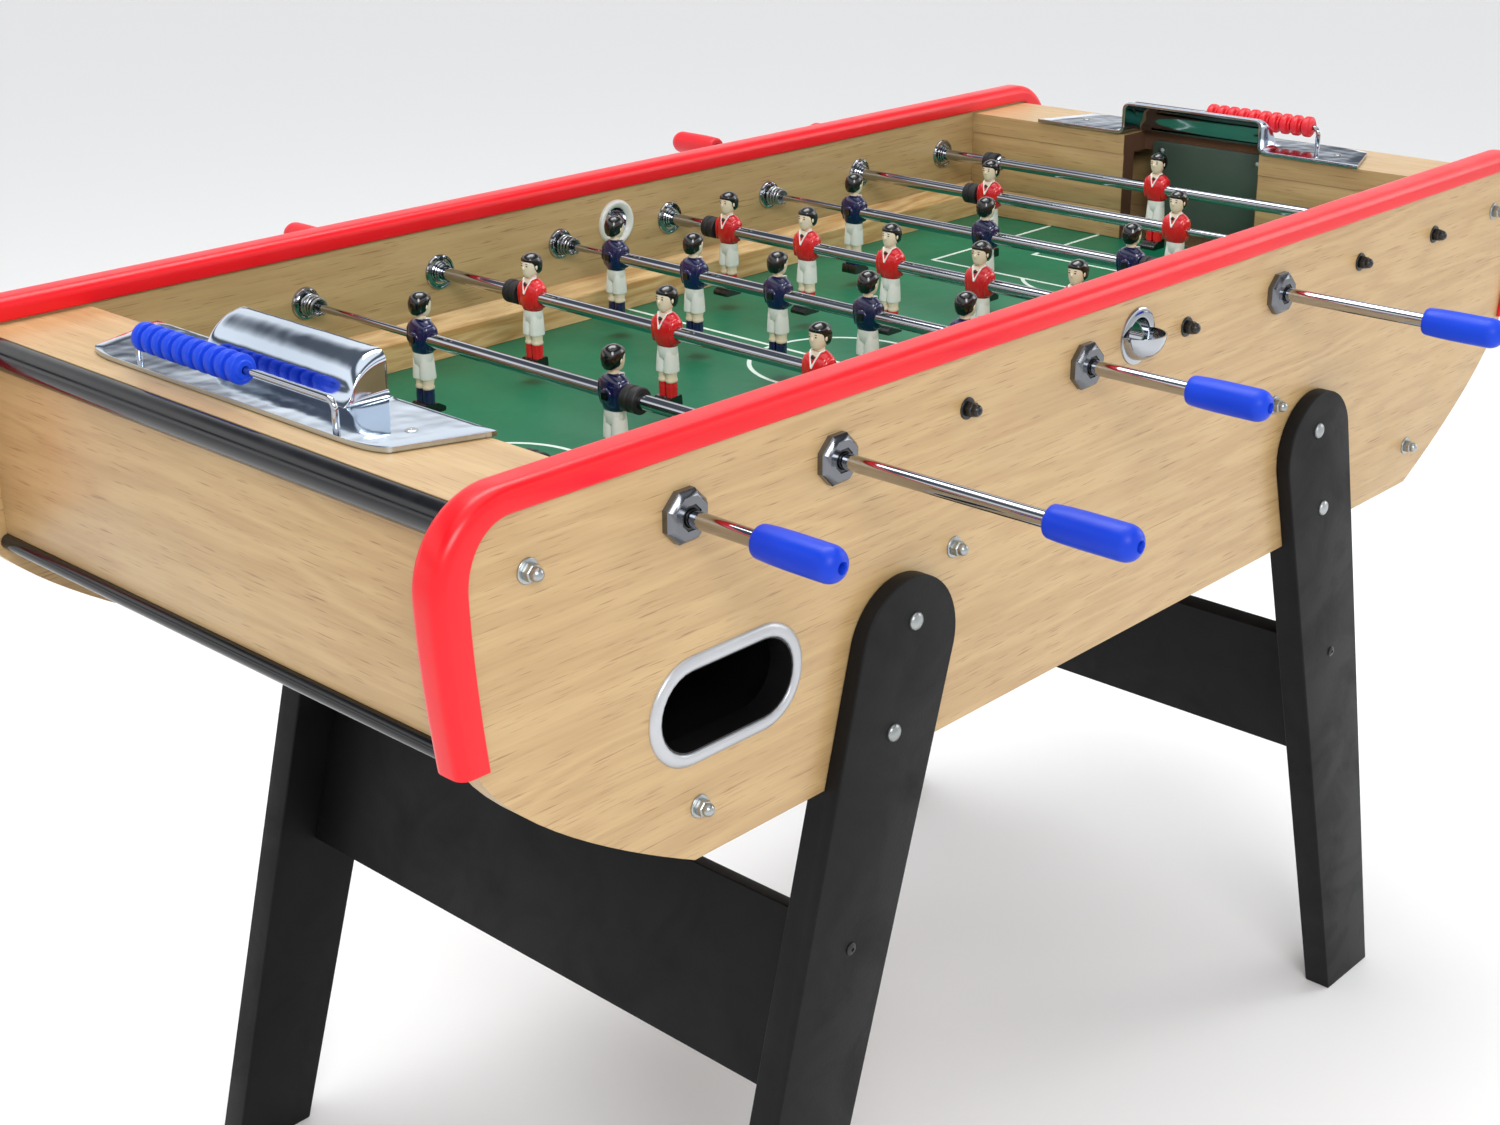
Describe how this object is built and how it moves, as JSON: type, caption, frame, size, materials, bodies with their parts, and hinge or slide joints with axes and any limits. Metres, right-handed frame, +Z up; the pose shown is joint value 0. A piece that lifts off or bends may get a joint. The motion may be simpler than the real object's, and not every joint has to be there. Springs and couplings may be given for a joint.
{
  "type": "foosball table",
  "caption": "Table football game on board legs, with telescopic player rods, goal covers, score beads and ball returns.",
  "frame": {"origin": "on the floor under the middle of the whole outline, handles included", "axes": "+X along the table towards the red goal, +Y across it away from the blue handles, +Z up"},
  "size_m": [1.46, 1.1472, 0.8973],
  "materials": {
    "maple_laminate": "satin maple-grain laminate",
    "raw_batten": "unfinished batten",
    "black_board": "black laminated board",
    "green_pitch": "satin green laminate with white lines",
    "red_rail_trim": "satin red extrusion",
    "black_trim": "glossy black edge moulding",
    "rod_chrome": "polished chrome",
    "polished_cover": "polished cast cover",
    "blue_plastic": "satin blue plastic",
    "red_plastic": "satin red plastic",
    "blue_player_paint": "glossy painted plastic figure",
    "red_player_paint": "glossy painted plastic figure",
    "black_rubber": "matt black rubber",
    "fastener_zinc": "bright zinc",
    "spring_steel": "plain spring steel",
    "rebound_plate": "grey-green painted sheet",
    "raw_fibreboard": "cut fibreboard",
    "return_ring": "bright white-metal ring",
    "black_plastic": "black moulded plastic"
  },
  "bodies": {
    "table": {"side_panel_front": "maple_laminate", "side_panel_back": "maple_laminate", "rail_trim_front": "red_rail_trim", "rail_trim_back": "red_rail_trim", "playfield": "green_pitch", "pitch_support_frame": "raw_batten", "end_box_left": "maple_laminate", "end_box_right": "maple_laminate", "goal_cover_left": "polished_cover", "goal_cover_right": "polished_cover", "leg_frame_left": "black_board", "leg_frame_right": "black_board"},
    "score_beads_left": {"score_beads_left": "blue_plastic"},
    "score_beads_right": {"score_beads_right": "red_plastic"},
    "blue_keeper_inner_rod": {"blue_keeper_inner_rod": "rod_chrome"},
    "blue_keeper_rod": {"blue_keeper_tube": "rod_chrome", "blue_keeper_handle": "blue_plastic", "blue_keeper_player": "blue_player_paint"},
    "blue_defence_inner_rod": {"blue_defence_inner_rod": "rod_chrome"},
    "blue_defence_rod": {"blue_defence_tube": "rod_chrome", "blue_defence_handle": "blue_plastic", "blue_defence_player_1": "blue_player_paint", "blue_defence_player_2": "blue_player_paint"},
    "red_attack_inner_rod": {"red_attack_inner_rod": "rod_chrome"},
    "red_attack_rod": {"red_attack_tube": "rod_chrome", "red_attack_handle": "red_plastic", "red_attack_player_1": "red_player_paint", "red_attack_player_2": "red_player_paint", "red_attack_player_3": "red_player_paint"},
    "blue_midfield_inner_rod": {"blue_midfield_inner_rod": "rod_chrome"},
    "blue_midfield_rod": {"blue_midfield_tube": "rod_chrome", "blue_midfield_handle": "blue_plastic", "blue_midfield_player_1": "blue_player_paint", "blue_midfield_player_2": "blue_player_paint", "blue_midfield_player_3": "blue_player_paint", "blue_midfield_player_4": "blue_player_paint", "blue_midfield_player_5": "blue_player_paint"},
    "red_midfield_inner_rod": {"red_midfield_inner_rod": "rod_chrome"},
    "red_midfield_rod": {"red_midfield_tube": "rod_chrome", "red_midfield_handle": "red_plastic", "red_midfield_player_1": "red_player_paint", "red_midfield_player_2": "red_player_paint", "red_midfield_player_3": "red_player_paint", "red_midfield_player_4": "red_player_paint", "red_midfield_player_5": "red_player_paint"},
    "blue_attack_inner_rod": {"blue_attack_inner_rod": "rod_chrome"},
    "blue_attack_rod": {"blue_attack_tube": "rod_chrome", "blue_attack_handle": "blue_plastic", "blue_attack_player_1": "blue_player_paint", "blue_attack_player_2": "blue_player_paint", "blue_attack_player_3": "blue_player_paint"},
    "red_defence_inner_rod": {"red_defence_inner_rod": "rod_chrome"},
    "red_defence_rod": {"red_defence_tube": "rod_chrome", "red_defence_handle": "red_plastic", "red_defence_player_1": "red_player_paint", "red_defence_player_2": "red_player_paint"},
    "red_keeper_inner_rod": {"red_keeper_inner_rod": "rod_chrome"},
    "red_keeper_rod": {"red_keeper_tube": "rod_chrome", "red_keeper_handle": "red_plastic", "red_keeper_player": "red_player_paint"}
  },
  "joints": [
    {"name": "blue_keeper_turn", "type": "hinge", "parent": "table", "child": "blue_keeper_inner_rod", "pos_m": [-0.525, -0.00901, 0.82], "axis": [0, 1, 0], "continuous": true},
    {"name": "blue_keeper_slide", "type": "slide", "parent": "blue_keeper_inner_rod", "child": "blue_keeper_rod", "axis": [0, 1, 0], "range_m": [-0.1057, 0.0107]},
    {"name": "blue_defence_turn", "type": "hinge", "parent": "table", "child": "blue_defence_inner_rod", "pos_m": [-0.375, -0.00901, 0.82], "axis": [0, 1, 0], "continuous": true},
    {"name": "blue_defence_slide", "type": "slide", "parent": "blue_defence_inner_rod", "child": "blue_defence_rod", "axis": [0, 1, 0], "range_m": [-0.1616, 0.1238]},
    {"name": "red_attack_turn", "type": "hinge", "parent": "table", "child": "red_attack_inner_rod", "pos_m": [-0.225, -0.00901, 0.82], "axis": [0, -1, 0], "continuous": true},
    {"name": "red_attack_slide", "type": "slide", "parent": "red_attack_inner_rod", "child": "red_attack_rod", "axis": [0, -1, 0], "range_m": [-0.0906, 0.0878]},
    {"name": "blue_midfield_turn", "type": "hinge", "parent": "table", "child": "blue_midfield_inner_rod", "pos_m": [-0.075, -0.00901, 0.82], "axis": [0, 1, 0], "continuous": true},
    {"name": "blue_midfield_slide", "type": "slide", "parent": "blue_midfield_inner_rod", "child": "blue_midfield_rod", "axis": [0, 1, 0], "range_m": [-0.0587, 0.0407]},
    {"name": "red_midfield_turn", "type": "hinge", "parent": "table", "child": "red_midfield_inner_rod", "pos_m": [0.075, -0.00901, 0.82], "axis": [0, -1, 0], "continuous": true},
    {"name": "red_midfield_slide", "type": "slide", "parent": "red_midfield_inner_rod", "child": "red_midfield_rod", "axis": [0, -1, 0], "range_m": [-0.0457, 0.0537]},
    {"name": "blue_attack_turn", "type": "hinge", "parent": "table", "child": "blue_attack_inner_rod", "pos_m": [0.225, -0.00901, 0.82], "axis": [0, 1, 0], "continuous": true},
    {"name": "blue_attack_slide", "type": "slide", "parent": "blue_attack_inner_rod", "child": "blue_attack_rod", "axis": [0, 1, 0], "range_m": [-0.0956, 0.0828]},
    {"name": "red_defence_turn", "type": "hinge", "parent": "table", "child": "red_defence_inner_rod", "pos_m": [0.375, -0.00901, 0.82], "axis": [0, -1, 0], "continuous": true},
    {"name": "red_defence_slide", "type": "slide", "parent": "red_defence_inner_rod", "child": "red_defence_rod", "axis": [0, -1, 0], "range_m": [-0.1436, 0.1418]},
    {"name": "red_keeper_turn", "type": "hinge", "parent": "table", "child": "red_keeper_inner_rod", "pos_m": [0.525, -0.00901, 0.82], "axis": [0, -1, 0], "continuous": true},
    {"name": "red_keeper_slide", "type": "slide", "parent": "red_keeper_inner_rod", "child": "red_keeper_rod", "axis": [0, -1, 0], "range_m": [-0.0567, 0.0597]},
    {"name": "score_beads_left_slide", "type": "slide", "parent": "table", "child": "score_beads_left", "axis": [0, -1, 0], "range_m": [0, 0.0931]},
    {"name": "score_beads_right_slide", "type": "slide", "parent": "table", "child": "score_beads_right", "axis": [0, 1, 0], "range_m": [0, 0.0931]}
  ]
}
